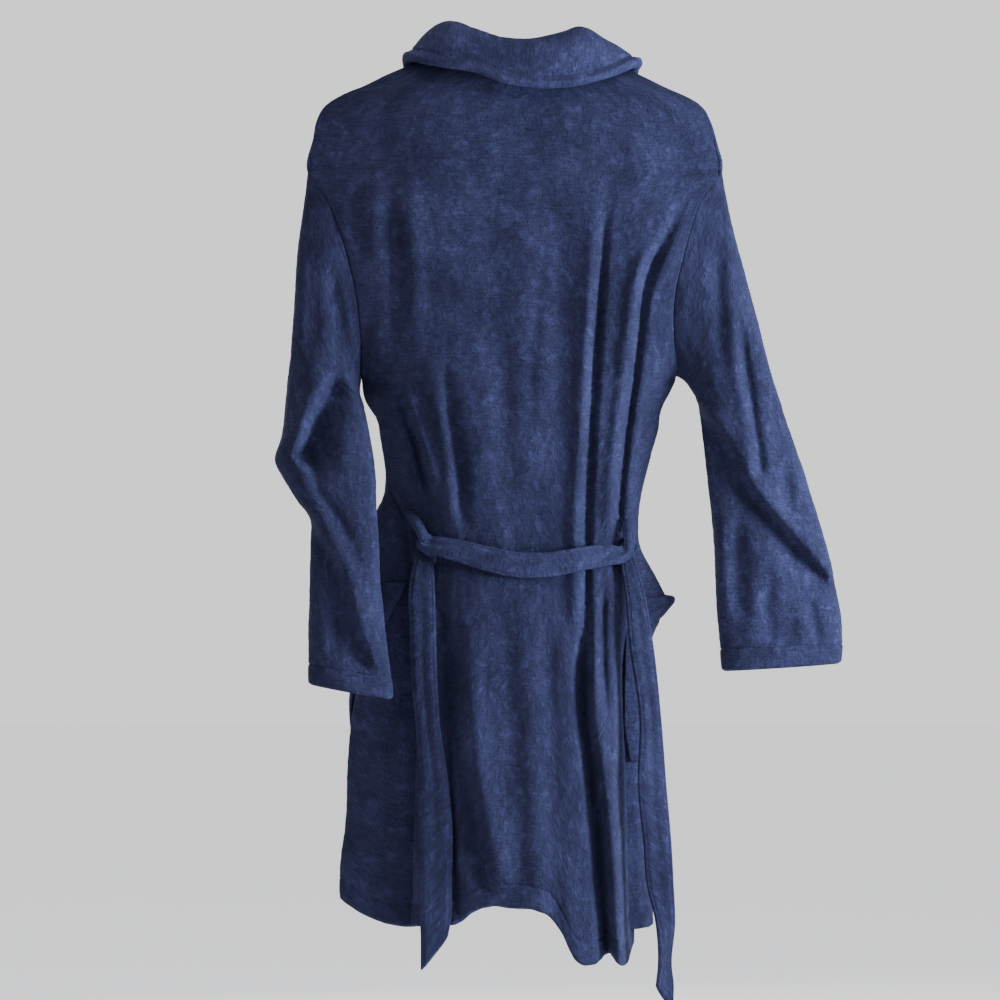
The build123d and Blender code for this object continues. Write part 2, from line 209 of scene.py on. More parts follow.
def normals(grid, flip, closed):
    """The outward direction at each point of a grid of (row, column, xyz)."""
    if closed:
        wrapped = np.concatenate([grid[:, -1:], grid, grid[:, :1]], axis=1)
        across = np.gradient(wrapped, axis=1)[:, 1:-1]
    else:
        across = np.gradient(grid, axis=1)
    down = np.gradient(grid, axis=0)
    return unit(np.cross(across, down) * (-1 if flip else 1))


def evened(directions, closed):
    """Directions averaged with their neighbours, so that a sharp fold doesn't turn cloth inside out."""
    for _ in range(3):
        if closed:
            sides = np.roll(directions, 1, axis=1) + np.roll(directions, -1, axis=1)
        else:
            padded = np.pad(directions, ((0, 0), (1, 1), (0, 0)), mode="edge")
            sides = padded[:, :-2] + padded[:, 2:]
        stacked = np.pad(directions, ((1, 1), (0, 0), (0, 0)), mode="edge")
        directions = unit(directions * 2 + sides + stacked[:-2] + stacked[2:])
    return directions


def metric_uv(grid):
    """Cloth coordinates in metres: across and down, measured along the cloth."""
    across = np.linalg.norm(np.diff(grid, axis=1), axis=-1)
    down = np.linalg.norm(np.diff(grid, axis=0), axis=-1)
    middle_row = np.concatenate([[0], np.cumsum(across.mean(axis=0))])
    middle_column = np.concatenate([[0], np.cumsum(down.mean(axis=1))])
    u, v = np.meshgrid(middle_row, middle_column)
    return np.stack([u, v], -1) * MM


def add_object(name, data, location=(0, 0, 0), rotation=(0, 0, 0)):
    added = bpy.data.objects.new(name, data)
    added.location = location
    added.rotation_euler = rotation
    bpy.context.scene.collection.objects.link(added)
    return added


def build_mesh(name, points, faces, uvs):
    mesh = bpy.data.meshes.new(name)
    mesh.from_pydata((points * MM + HANG_POINT).tolist(), [], faces)
    layer = mesh.uv_layers.new(name="cloth")
    loops = np.empty(len(mesh.loops), int)
    mesh.loops.foreach_get("vertex_index", loops)
    layer.data.foreach_set("uv", uvs[loops].astype(np.float32).ravel())
    mesh.polygons.foreach_set("use_smooth", [True] * len(mesh.polygons))
    mesh.update()
    return add_object(name, mesh)


def shell(name, grid, thickness=None, flip=False, closed=False, inner=None):
    """A closed sheet of cloth with rounded edges. grid is its outer face. Its inner face is given, or
    lies one thickness in."""
    rows, columns = grid.shape[:2]
    if inner is None:
        inner = grid - evened(normals(grid, flip, closed), closed) * thickness
    count = rows * columns
    outer, inner = grid.reshape(-1, 3), inner.reshape(-1, 3)
    half = np.linalg.norm(outer - inner, axis=-1, keepdims=True) / 2
    uv = metric_uv(grid).reshape(-1, 2)
    points, uvs = [outer, inner], [uv, uv]
    outer_id = np.arange(count).reshape(rows, columns)
    left = np.arange(columns if closed else columns - 1)
    right = (left + 1) % columns
    a, b = outer_id[:-1][:, left], outer_id[:-1][:, right]
    c, d = outer_id[1:][:, right], outer_id[1:][:, left]
    quads = [np.stack([a, b, c, d], -1).reshape(-1, 4), np.stack([d, c, b, a], -1).reshape(-1, 4) + count]
    if closed:
        edges = [
            (outer_id[0], grid[0] - grid[1]),
            (outer_id[-1, ::-1], (grid[-1] - grid[-2])[::-1]),
        ]
    else:
        away = np.zeros_like(grid)
        away[0] += grid[0] - grid[1]
        away[-1] += grid[-1] - grid[-2]
        away[:, 0] += grid[:, 0] - grid[:, 1]
        away[:, -1] += grid[:, -1] - grid[:, -2]
        sides = (outer_id[0], outer_id[1:, -1], outer_id[-1, ::-1][1:], outer_id[::-1, 0][1:-1])
        ring = np.concatenate(sides)
        edges = [(ring, away.reshape(-1, 3)[ring])]
    rim_start = 2 * count
    for ring, away in edges:
        points.append((outer[ring] + inner[ring]) / 2 + unit(away) * half[ring])
        uvs.append(uv[ring])
        rim = rim_start + np.arange(len(ring))
        rim_start += len(ring)
        following = np.roll(np.arange(len(ring)), -1)
        behind = ring + count
        quads.append(np.stack([ring[following], ring, rim, rim[following]], -1))
        quads.append(np.stack([rim[following], rim, behind, behind[following]], -1))
    faces = np.concatenate(quads)
    if flip:
        faces = faces[:, ::-1]
    return build_mesh(name, np.concatenate(points), faces.tolist(), np.concatenate(uvs))


# ---- Materials ----
def new_material(name):
    """A material, and its nodes, links, shader and the cloth's own coordinates."""
    material = bpy.data.materials.new(name)
    material.use_nodes = True
    nodes, links = material.node_tree.nodes, material.node_tree.links
    cloth = nodes.new("ShaderNodeTexCoord").outputs["UV"]
    return material, nodes, links, nodes["Principled BSDF"], cloth


def mixed(nodes, links, factor, low, high, kind="RGBA"):
    mix = nodes.new("ShaderNodeMix")
    mix.data_type = kind
    first, second, result = {"RGBA": (6, 7, 2), "FLOAT": (2, 3, 0)}[kind]
    for index, value in ((0, factor), (first, low), (second, high)):
        if isinstance(value, bpy.types.NodeSocket):
            links.new(value, mix.inputs[index])
        else:
            mix.inputs[index].default_value = value
    return mix.outputs[result]


def scaled_noise(nodes, links, cloth, scale, size, detail, roughness=0.5, distortion=0.0):
    mapping = nodes.new("ShaderNodeMapping")
    mapping.inputs["Scale"].default_value = scale
    links.new(cloth, mapping.inputs["Vector"])
    texture = nodes.new("ShaderNodeTexNoise")
    texture.inputs["Scale"].default_value = size
    texture.inputs["Detail"].default_value = detail
    texture.inputs["Roughness"].default_value = roughness
    texture.inputs["Distortion"].default_value = distortion
    links.new(mapping.outputs["Vector"], texture.inputs["Vector"])
    return texture.outputs["Fac"]


def ramp(nodes, links, factor, low, high):
    stretch = nodes.new("ShaderNodeMapRange")
    stretch.interpolation_type = "SMOOTHSTEP"
    stretch.inputs["From Min"].default_value = low
    stretch.inputs["From Max"].default_value = high
    links.new(factor, stretch.inputs["Value"])
    return stretch.outputs["Result"]


def set_roughness(nodes, links, shader, factor, low, high):
    rough = nodes.new("ShaderNodeMapRange")
    rough.inputs["To Min"].default_value = low
    rough.inputs["To Max"].default_value = high
    links.new(factor, rough.inputs["Value"])
    links.new(rough.outputs["Result"], shader.inputs["Roughness"])


# The plush where its pile lies away from the light, between, and where it catches the light.
NAVY = ((0.0048, 0.0049, 0.0130), (0.0120, 0.0130, 0.0360), (0.0330, 0.0350, 0.0880))


def plush(name, painted_light_scale=1.0, nap=1.0):
    """Coral-fleece plush: nap brushed into lighter and darker patches, faint ribs and a soft sheen."""
    # painted_light_scale above 1 makes every colour lighter: a copy of this plush with painted light on
    # it.
    dark, middle, light = [(*(value * painted_light_scale for value in colour), 1) for colour in NAVY]
    material, nodes, links, shader, cloth = new_material(name)
    patches = scaled_noise(nodes, links, cloth, (1, 0.5, 1), 22, 5, 0.62, 0.2)
    patches = ramp(nodes, links, patches, 0.18, 0.82)
    smudges = scaled_noise(nodes, links, cloth, (1, 0.8, 1), 92, 6, 0.74, 0.3)
    smudges = ramp(nodes, links, smudges, 0.39, 0.63)
    ribs = scaled_noise(nodes, links, cloth, (0.14, 1, 1), 560, 2, 0.6)
    fuzz = scaled_noise(nodes, links, cloth, (1, 1, 1), 620, 3, 0.7)
    speck = ramp(nodes, links, mixed(nodes, links, 0.5, fuzz, ribs, kind="FLOAT"), 0.41, 0.59)
    dull = mixed(nodes, links, patches, dark, middle)
    bright = mixed(nodes, links, patches, middle, light)
    brushed = mixed(nodes, links, smudges, dull, bright)
    specked = mixed(nodes, links, speck, dull, bright)
    links.new(mixed(nodes, links, 0.5, brushed, specked), shader.inputs["Base Color"])
    set_roughness(nodes, links, shader, smudges, 0.8, 0.98)
    shader.inputs["Specular IOR Level"].default_value = 0.05
    shader.inputs["Sheen Weight"].default_value = 0.04
    shader.inputs["Sheen Roughness"].default_value = 0.4
    shader.inputs["Sheen Tint"].default_value = (0.42, 0.5, 0.95, 1)
    height = None
    for source, distance in ((smudges, 0.0016 * nap), (ribs, 0.0008 * nap), (fuzz, 0.0014 * nap)):
        bump = nodes.new("ShaderNodeBump")
        bump.inputs["Strength"].default_value = 0.9
        bump.inputs["Distance"].default_value = distance
        links.new(source, bump.inputs["Height"])
        if height is not None:
            links.new(height, bump.inputs["Normal"])
        height = bump.outputs["Normal"]
    links.new(height, shader.inputs["Normal"])
    return material


def woven(name, low, high, size, roughness):
    """A flat weave: two sets of threads crossing, with a little unevenness."""
    material, nodes, links, shader, cloth = new_material(name)
    threads = []
    for direction in ("X", "Y"):
        thread = nodes.new("ShaderNodeTexWave")
        thread.bands_direction = direction
        thread.inputs["Scale"].default_value = size
        thread.inputs["Distortion"].default_value = 0.6
        links.new(cloth, thread.inputs["Vector"])
        threads.append(thread.outputs["Fac"])
    uneven = scaled_noise(nodes, links, cloth, (1, 1, 1), 500, 2)
    weave = mixed(nodes, links, uneven, *threads, kind="FLOAT")
    links.new(mixed(nodes, links, weave, low, high), shader.inputs["Base Color"])
    set_roughness(nodes, links, shader, weave, roughness - 0.1, roughness + 0.1)
    bump = nodes.new("ShaderNodeBump")
    bump.inputs["Distance"].default_value = 0.0003
    links.new(weave, bump.inputs["Height"])
    links.new(bump.outputs["Normal"], shader.inputs["Normal"])
    return material


PLUSH = plush("plush")
# The collar is the same plush made lighter: a painted highlight where its roll catches the light.
COLLAR_PLUSH_PAINTED_HIGHLIGHT = plush("collar_plush_painted_highlight", painted_light_scale=1.5, nap=1.4)
# The belt and its loops are the same plush made lighter: painted light on the raised belt.
BELT_PLUSH_PAINTED_LIGHT = plush("belt_plush_painted_light", painted_light_scale=1.45, nap=1.4)
TAPE = woven("tape", (0.006, 0.008, 0.03, 1), (0.02, 0.026, 0.08, 1), 900, 0.7)
LABEL = woven("label", (0.13, 0.13, 0.15, 1), (0.22, 0.22, 0.24, 1), 1400, 0.45)


def finish_piece(piece, material, nodes):
    piece.data.materials.append(material)
    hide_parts(*nodes)


# ---- Body of the robe ----
# Rows of (drop, distance from the middle): the armhole's edge, then the side seam.
LEFT_EDGE = smooth([
    (16, 118), (40, 170), (66, 222), (84, 233), (104, 237), (144, 244), (178, 222), (220, 205), (260, 193),
    (288, 187), (343, 181), (392, 181), (416, 176), (436, 163), (474, 156), (512, 149), (560, 127),
    (600, 122), (1060, 122),
])
RIGHT_EDGE = smooth([
    (16, 118), (40, 168), (66, 219), (84, 230), (110, 238), (144, 244), (178, 221), (208, 209), (237, 201),
    (297, 188), (343, 187), (388, 190), (423, 174), (466, 164), (509, 151), (545, 144), (600, 140),
    (1080, 141),
])
# Rows of (drop, y): the middle of the back, and the two side seams.
BACK_DEPTH = smooth([
    (16, 29), (40, 34), (66, 38), (110, 43), (146, 47), (240, 55), (300, 58), (392, 61), (510, 60),
    (560, 56), (600, 55), (680, 60), (800, 69), (1000, 80), (1080, 82),
])
SIDE_DEPTH = smooth([
    (16, 1.0), (110, 1.0), (ARMHOLE_TOP, 1.0), (ARMHOLE_LOW, 1.0), (450, 4), (510, 9), (560, 12.5),
    (1080, 12.5),
])
# Rows of (x, drop) along the back's lower edge.
BACK_HEM = smooth([
    (-141, 1055), (-132, 1076), (-119, 1074), (-108, 1062), (-103, 1068), (-90, 1074), (-70, 1066),
    (-54, 1036), (-43, 1018), (-29, 1010), (6, 1006), (25, 1004), (42, 1008), (73, 1026), (122, 1033),
])
HEM_LEVEL = 1030  # the drop at which the hem's places across the back are taken
BACK_CREASES = [
    # right-hand folds, from the shoulder to the hem
    ([(-112, 140), (-106, 210), (-99, 297), (-90, 440), (-84, 560), (-84, 700)], 15, 6, 1, 0.3, 0.1),
    ([(-84, 640), (-80, 778), (-86, 830), (-94, 901), (-103, 1013), (-108, 1075)], 24, 7, -1, 0.25, 0),
    ([(-207, 165), (-178, 225), (-155, 278), (-146, 340), (-140, 388), (-126, 500), (-120, 585)],
     15, 6, 1, 0.3, 0.1),
    ([(-168, 190), (-162, 250), (-152, 300)], 5, 8, 1, 0.4, 0.4),
    ([(-128, 640), (-132, 760), (-134, 850), (-138, 960), (-141, 1070)], 22, 8, 1, 0.3, 0),
    ([(-104, 625), (-103, 700), (-106, 790)], 8, 5, 0, 0.25, 0.4),
    ([(-60, 160), (-52, 320), (-44, 520)], 4, 14, 1, 0.4, 0.3),
    ([(-34, 200), (-22, 340), (-16, 470)], 3, 10, -1, 0.4, 0.3),
    # left-hand folds
    ([(182, 150), (184, 200), (180, 262)], 7, 8, -1, 0.3, 0.4),
    ([(150, 150), (140, 240), (137, 300), (140, 380)], 8, 9, -1, 0.4, 0.4),
    ([(146, 385), (134, 420), (112, 480), (98, 535)], 10, 5, -1, 0.3, 0.2),
    ([(126, 440), (112, 490), (104, 530)], 6, 4, -1, 0.3, 0.3),
    ([(84, 360), (76, 420), (64, 500), (58, 575)], 10, 7, 1, 0.4, 0.2),
    ([(20, 300), (14, 420), (10, 560)], 4, 16, 1, 0.4, 0.3),
    # below the belt
    ([(86, 625), (84, 700), (80, 800), (70, 1010)], 13, 7, 1, 0.2, 0),
    ([(74, 640), (74, 740), (64, 850), (44, 950), (30, 1000)], 14, 10, -1, 0.3, 0.1),
    ([(14, 630), (4, 760), (-4, 880), (-10, 1005)], 3, 13, -1, 0.3, 0.1),
    ([(-36, 630), (-40, 760), (-44, 900), (-48, 1030)], 5, 12, 1, 0.3, 0),
    ([(108, 640), (104, 800), (100, 1020)], 8, 7, 1, 0.3, 0),
]


BELT_PULL = 6.0  # how far the belt draws the back in


def ring_depth(drop):
    """Half the depth of the armhole's opening at a drop, for either side of the robe."""
    middle = (ARMHOLE_TOP + ARMHOLE_LOW) / 2
    half = (ARMHOLE_LOW - ARMHOLE_TOP) / 2
    return ARMHOLE_DEPTH * np.sqrt(np.clip(1 - ((drop - middle) / half) ** 2, 0, 1))


def side_y(drop):
    return SIDE_DEPTH(drop) + ring_depth(drop)


def back_surface(u, drop):
    """The back's outer face: u runs from 0 at the right side to 1 at the left side."""
    left = LEFT_EDGE(drop)
    right = -RIGHT_EDGE(drop)
    x = right + (left - right) * u
    middle = (left + right) / 2
    share = np.abs((x - middle) / ((left - right) / 2))
    depth = BACK_DEPTH(drop)
    edge = side_y(drop)
    y = edge + (depth - edge) * np.clip(1 - share**3, 0, 1)
    edge_hold = ease(1 - share, 0, 0.12)
    belt_pull = BELT_PULL * bell((drop - BELT_DROP) / 15) * edge_hold
    drawn = creases(BACK_CREASES, x, drop) * (1 - 0.5 * bell((drop - BELT_DROP) / 20))
    y = y - drawn * np.maximum(edge_hold, ease(drop, 620, 760)) - belt_pull
    return np.stack([x, y, -drop], -1)


def back_y(x, drop):
    """How far back the back's outer face is at x and a drop."""
    x, drop = np.broadcast_arrays(np.asarray(x, float), np.asarray(drop, float))
    u = (x + RIGHT_EDGE(drop)) / (LEFT_EDGE(drop) + RIGHT_EDGE(drop))
    return back_surface(np.clip(u, 0, 1), drop)[..., 1]


def drops_down(bottom, rows, hem_only):
    """Each column's drops: from the neck down to the hem, or down the turned hem on its own."""
    start = bottom - HEM if hem_only else NECK_DROP
    end = bottom if hem_only else bottom - HEM
    down = np.linspace(0, 1, rows)[:, None]
    return start + down * (end - start), down


def back_grid(rows, hem_only=False):
    """Points of the back: the panel down to its hem, or the hem on its own."""
    u = np.linspace(0, 1, 196)
    across = -RIGHT_EDGE(HEM_LEVEL) + (LEFT_EDGE(HEM_LEVEL) + RIGHT_EDGE(HEM_LEVEL)) * u
    drop, down = drops_down(BACK_HEM(across), rows, hem_only)
    return back_surface(np.broadcast_to(u, drop.shape), drop), down


def hem_swell(down, stitch=0.7):
    """A turned hem is barely thicker than the cloth, with a groove where it is stitched."""
    return 0.5 * np.sin(pi * np.clip(down, 0, 1)) ** 0.6 - stitch * bell((down - 0.06) / 0.06)


# Cloth turned in at each side seam: a little at the armhole, and all of it from ALLOWANCE_END down.
ALLOWANCE = 14.0
ALLOWANCE_LEAST = 0.12
ALLOWANCE_START, ALLOWANCE_END = 455, 540
ALLOWANCE_STEPS = 4
ALLOWANCE_SLANT = 0.9  # each step's way inwards, in millimetres


def with_allowance(grid):
    """The back's edges turned forward inside the side seams, where the fronts are sewn to them."""
    down = ease(-grid[:, :1, 2], ALLOWANCE_START, ALLOWANCE_END)
    reach = (ALLOWANCE_LEAST + (1 - ALLOWANCE_LEAST) * down)[..., None]
    steps = np.arange(1, ALLOWANCE_STEPS + 1)[:, None]
    right = steps * [ALLOWANCE_SLANT, -ALLOWANCE / ALLOWANCE_STEPS, 0]
    left = right * [-1, 1, 1]
    parts = [grid[:, :1] + (right * reach)[:, ::-1], grid, grid[:, -1:] + left * reach]
    return np.concatenate(parts, axis=1)


def make_back():
    grid, _ = back_grid(236)
    grid += normals(grid, False, False) * unevenness(grid, 1)[..., None]
    panel = shell("back_panel_cloth", with_allowance(grid), CLOTH)
    finish_piece(panel, PLUSH, ["back_panel"])
    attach(panel, "torso")
    grid, down = back_grid(HEM_ROWS, hem_only=True)
    grid += normals(grid, False, False) * (unevenness(grid, 1) + hem_swell(down))[..., None]
    hem = shell("back_hem_cloth", with_allowance(grid), DOUBLE)
    finish_piece(hem, PLUSH, ["back_hem"])
    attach(hem, "torso")


# ---- Fronts ----
# Rows of (drop, distance from the middle) for the front edge, and (drop, how far forward) for the chest.
NECK_EDGE = smooth([
    (16, 92), (66, 76), (110, 63), (146, 55), (180, 48), (240, 38), (300, 29), (350, 21), (392, 15),
    (450, 12), (1060, 11),
])
CHEST_DEPTH = smooth([
    (16, 27), (66, 34), (110, 38), (146, 42), (180, 45), (240, 51), (300, 55), (392, 60), (450, 61),
])
# Below the armhole the fronts stand out beyond the side seams: rows of (drop, how wide) and (drop,
# how far forward).
FRONT_WIDTH = {
    1: smooth([
        (392, 176), (450, 160), (510, 153), (530, 156), (547, 164), (560, 168), (600, 172), (755, 190),
        (814, 197), (910, 200), (968, 208), (1040, 207),
    ]),
    -1: smooth([
        (392, 188), (450, 170), (510, 154), (560, 147), (585, 148), (620, 165), (640, 176), (649, 180),
        (657, 174), (690, 155), (760, 154), (1040, 163),
    ]),
}
FRONT_DEPTH = smooth([(392, 60), (510, 62), (600, 64), (760, 70), (1040, 80)])
# Rows of (distance from the middle, drop) along each front's lower edge.
FRONT_HEM = {
    1: smooth([(11, 1004), (60, 1015), (125, 1034), (150, 1031), (180, 1020), (210, 1003)]),
    -1: smooth([(11, 1004), (60, 1024), (100, 1040), (130, 1038), (170, 1034)]),
}
FRONT_CREASES = [
    ([(150, 100), (128, 240), (112, 380), (100, 560)], 8, 14, 1, 0.4, 0.3),
    ([(190, 180), (165, 300), (150, 400)], 6, 10, -1, 0.4, 0.4),
    ([(70, 560), (76, 700), (84, 860), (88, 1030)], 12, 15, 1, 0.4, 0),
    ([(120, 620), (128, 760), (134, 900), (136, 1030)], 9, 12, -1, 0.4, 0),
    ([(36, 480), (40, 640), (44, 840), (46, 1030)], 5, 13, -1, 0.4, 0),
]

# Where they are sewn together, the front is tucked this far sideways and forwards under the back.
TUCK_ASIDE, TUCK_DEEP = 8.0, 3.0
SKIRT_START, SKIRT_FULL = 384, 455  # where the chest's shape begins to turn into the skirt's, and ends


def front_row(drop, side, share):
    """Points across a front at one drop, at the given shares from its side to its front edge."""
    left = LEFT_EDGE if side > 0 else RIGHT_EDGE
    neck = NECK_EDGE(drop)
    seam = left(drop)
    chest_x = seam + (neck - seam) * share
    edge = side_y(drop)
    chest_y = -edge - (CHEST_DEPTH(drop) - edge) * np.clip(1 - np.abs(chest_x / seam) ** 3, 0, 1)
    chest = np.stack([chest_x, chest_y], -1)
    lower = ease(drop, SKIRT_START, SKIRT_FULL)
    if lower == 0:
        return chest
    width, depth = FRONT_WIDTH[side](drop), FRONT_DEPTH(drop)
    seam_y = SIDE_DEPTH(drop) - TUCK_DEEP
    angles = np.radians([4, 22, 42, 60, 74])
    corner = np.stack([width * np.cos(angles) ** 0.7, -depth * np.sin(angles) ** 0.7], -1)
    seam_point = np.array([seam - TUCK_ASIDE, seam_y])
    beside = seam_point + (corner[0] - seam_point) * [0.62, 0.3]
    front_edge = np.array([neck, -depth])
    points = np.concatenate([[seam_point, beside], corner, [front_edge]])
    run = run_along(points)
    skirt = smooth([(s, *p) for s, p in zip(run / run[-1], points)])(share)
    return chest + (skirt - chest) * lower


def front_grid(side, rows, hem_only=False):
    """Points of a front: the cloth down to its hem, or the hem on its own."""
    share = np.linspace(0, 1, 110)
    bottom = FRONT_HEM[side](front_row(1000.0, side, share)[:, 0])
    drop, down = drops_down(bottom, rows, hem_only)
    levels = np.linspace(NECK_DROP, 1085, 360)
    table = np.array([front_row(level, side, share) for level in levels])
    grid = np.empty((*drop.shape, 3))
    for c in range(len(share)):
        grid[:, c, 0] = np.interp(drop[:, c], levels, table[:, c, 0])
        grid[:, c, 1] = np.interp(drop[:, c], levels, table[:, c, 1])
    grid[..., 2] = -drop
    facing = np.clip(-grid[..., 1] / 60, 0, 1)
    hold = ease(share, 0.02, 0.2) * (1 - 0.6 * ease(share, 0.85, 1))
    grid[..., 1] += creases(FRONT_CREASES, grid[..., 0], drop) * facing * hold
    grid[..., 0] *= side
    return grid, down, share


BAND_HEIGHT = 1.6  # how far the doubled band along the front edge stands out


def make_front(side, word):
    flip = side < 0
    grid, _, share = front_grid(side, 300)
    band = BAND_HEIGHT * ease(share, 0.74, 0.78) * ease(-grid[..., 2], 500, 560)
    held = ease(share, 0, 0.06)
    grid += normals(grid, flip, False) * (unevenness(grid, 2 + side) * held + band)[..., None]
    panel = shell(f"{word}_front_cloth", grid, CLOTH, flip=flip)
    names = [f"{word}_front_upper", f"{word}_front_skirt", f"{word}_front_band"]
    finish_piece(panel, PLUSH, names)
    bend(panel)
    grid, down, _ = front_grid(side, HEM_ROWS, hem_only=True)
    lift = unevenness(grid, 2 + side) * held + hem_swell(down)
    grid += normals(grid, flip, False) * lift[..., None]
    hem = shell(f"{word}_front_hem_cloth", grid, DOUBLE, flip=flip)
    finish_piece(hem, PLUSH, [f"{word}_front_hem"])
    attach(hem, f"{word}_front")


def bend(piece):
    """The piece's placing baked into its mesh, which then stays where it is made."""
    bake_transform(piece)


# ---- Sleeves ----
# Share of the way down the sleeve, outer x and drop, inner x and drop, half depth, y.
SLEEVES = {
    1: smooth([
        (0.00, 244, 144, 190, 388, 34, 0), (0.14, 253, 204, 184, 402, 35, 5),
        (0.30, 261, 309, 177, 424, 34, 20), (0.44, 268, 402, 172, 448, 32, 40),
        (0.52, 273, 458, 168, 472, 31, 52), (0.565, 281, 487, 166, 490, 31, 59),
        (0.60, 272, 505, 164, 508, 31, 64), (0.65, 256, 531, 163, 534, 31, 69),
        (0.70, 239, 556, 161, 560, 31, 72), (0.74, 239, 584, 159, 582, 31, 74),
        (0.80, 240, 622, 157, 618, 31, 76), (0.90, 241, 680, 151, 676, 30, 78),
        (1.00, 241, 722, 144, 738, 29, 80),
    ]),
    -1: smooth([
        (0.00, 244, 144, 190, 386, 34, 0), (0.14, 256, 205, 198, 392, 35, 3),
        (0.30, 284, 308, 207, 402, 34, 8), (0.48, 312, 412, 217, 428, 33, 14),
        (0.64, 344, 512, 225, 500, 32, 20), (0.80, 370, 600, 233, 590, 31, 24),
        (0.90, 382, 660, 238, 660, 30, 27), (1.00, 385, 700, 242, 706, 29, 28),
    ]),
}
# The same, without the share, at the lower edge of the turned hem.
CUFF_END = {1: (241, 745, 142, 762, 29, 81), -1: (384, 722, 243, 731, 29, 29)}
ROUND = np.linspace(0, 2 * pi, 132, endpoint=False)  # angles round a sleeve, from its outer side
SLEEVE_CREASES = {
    1: [
        ([(204, 378), (212, 386), (224, 405), (240, 440), (251, 473), (262, 486)], 32, 34, 2, 0.28, 0.12),
        ([(262, 470), (249, 473), (228, 520), (199, 566), (180, 608), (172, 640)], 5, 7, 1, 0.1, 0.2),
        ([(248, 540), (239, 557), (214, 595), (199, 624), (185, 677), (160, 741)], 12, 26, -2, 0.1, 0.15),
        ([(246, 200), (236, 300), (232, 380)], 5, 12, 1, 0.4, 0.3),
        ([(222, 240), (206, 330), (204, 386)], 6, 9, 1, 0.4, 0.3),
        ([(212, 640), (208, 680), (212, 722)], 4, 11, 1, 0.4, 0.4),
    ],
    -1: [
        ([(-206, 404), (-222, 432), (-247, 464), (-268, 509), (-310, 560), (-350, 605), (-378, 632)],
         15, 26, -2, 0.15, 0.1),
        ([(-262, 300), (-272, 380), (-284, 460), (-290, 509)], 7, 6, 1, 0.3, 0.1),
        ([(-236, 200), (-240, 290), (-246, 380)], 5, 9, -1, 0.4, 0.3),
        ([(-300, 610), (-296, 650), (-304, 704)], 4, 8, 1, 0.4, 0.3),
        ([(-262, 520), (-262, 600), (-268, 690)], 6, 10, 1, 0.4, 0.3),
        ([(-345, 640), (-350, 670), (-356, 704)], 4, 7, 1, 0.4, 0.3),
        ([(-325, 470), (-318, 520), (-330, 570)], 4, 8, -1, 0.4, 0.3),
    ],
}


def sleeve_rings(rows):
    """Points round a sleeve: a ring for each row of values."""
    outer_x, outer_drop, inner_x, inner_drop, half_depth, y = [rows[:, i][:, None] for i in range(6)]
    c, s = np.cos(ROUND), np.sin(ROUND)
    x = (outer_x + inner_x) / 2 + (outer_x - inner_x) / 2 * c
    drop = (outer_drop + inner_drop) / 2 + (outer_drop - inner_drop) / 2 * c
    squared = np.sign(s) * np.abs(s) ** 0.85
    return np.stack([x, y + half_depth * squared, -drop], -1)


def make_sleeve(side, word):
    flip = side > 0
    share = np.linspace(0, 1, 175)
    rows = SLEEVES[side](share)
    grid = sleeve_rings(rows)
    # Its first ring is the armhole's, and the next ones ease away from that.
    ring_drop = -grid[0, :, 2]
    ring_x = (LEFT_EDGE if side > 0 else RIGHT_EDGE)(ring_drop) + 0.5
    ring_y = np.sign(np.sin(ROUND)) * (side_y(ring_drop) - 1)
    near = (1 - ease(share, 0, 0.2))[:, None]
    grid[..., 0] += (ring_x - grid[0, :, 0]) * near
    grid[..., 1] += (ring_y - grid[0, :, 1]) * near
    grid[..., 0] *= side
    behind = ease(grid[..., 1] - rows[:, 5][:, None], -6, 14)
    hold = ease(share, 0.0, 0.06)[:, None]
    grid[..., 1] -= creases(SLEEVE_CREASES[side], grid[..., 0], -grid[..., 2]) * behind * hold
    grid += normals(grid, flip, True) * (unevenness(grid, 5 + side) * hold)[..., None]
    sleeve = shell(f"{word}_sleeve_cloth", grid, CLOTH, flip=flip, closed=True)
    finish_piece(sleeve, PLUSH, [f"{word}_sleeve"])
    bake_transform(sleeve)
    down = np.linspace(0, 1, HEM_ROWS)[:, None]
    cuff_grid = sleeve_rings(rows[-1] + (np.array(CUFF_END[side], float) - rows[-1]) * down)
    cuff_grid[..., 0] *= side
    cuff_grid += (grid[-1] - cuff_grid[0]) * (1 - ease(down, 0, 1.0))[..., None]
    cuff_grid += normals(cuff_grid, flip, True) * hem_swell(down, 1.3)[..., None]
    cuff = shell(f"{word}_cuff_hem_cloth", cuff_grid, DOUBLE, flip=flip, closed=True)
    finish_piece(cuff, PLUSH, [f"{word}_cuff_hem"])
    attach(cuff, f"{word}_sleeve")


# ---- Collar ----
# Around the collar from the left front's waist over the neck to the right front's waist: the seam it
# grows from, the fold, and the free edge, each as x, y, z. Both lapels are the same up to the chest.
LAPEL = [
    ((22, -66, -538), (14, -69, -538), (30, -71, -535)),
    ((30, -66, -505), (14, -70, -505), (50, -70, -500)),
    ((34, -66, -460), (14, -68, -460), (64, -68, -450)),
    ((42, -64, -360), (20, -66, -360), (86, -63, -350)),
    ((56, -58, -240), (36, -59, -240), (110, -57, -240)),
]
COLLAR_LEFT = [
    *LAPEL,
    ((76, -45, -140), (56, -50, -140), (128, -45, -146)),
    ((92, -27, -62), (76, -34, -54), (131, -31, -66)),
    ((100, -8, -22), (90, -16, -8), (131, -12, -25)),
]
COLLAR_RIGHT = [
    ((-101, -8, -20), (-94, -16, -4), (-146, -12, -26)),
    ((-92, -27, -62), (-78, -34, -54), (-141, -31, -68)),
    ((-76, -45, -140), (-57, -50, -140), (-129, -45, -146)),
    *[tuple((-x, y, z) for x, y, z in row) for row in reversed(LAPEL)],
]
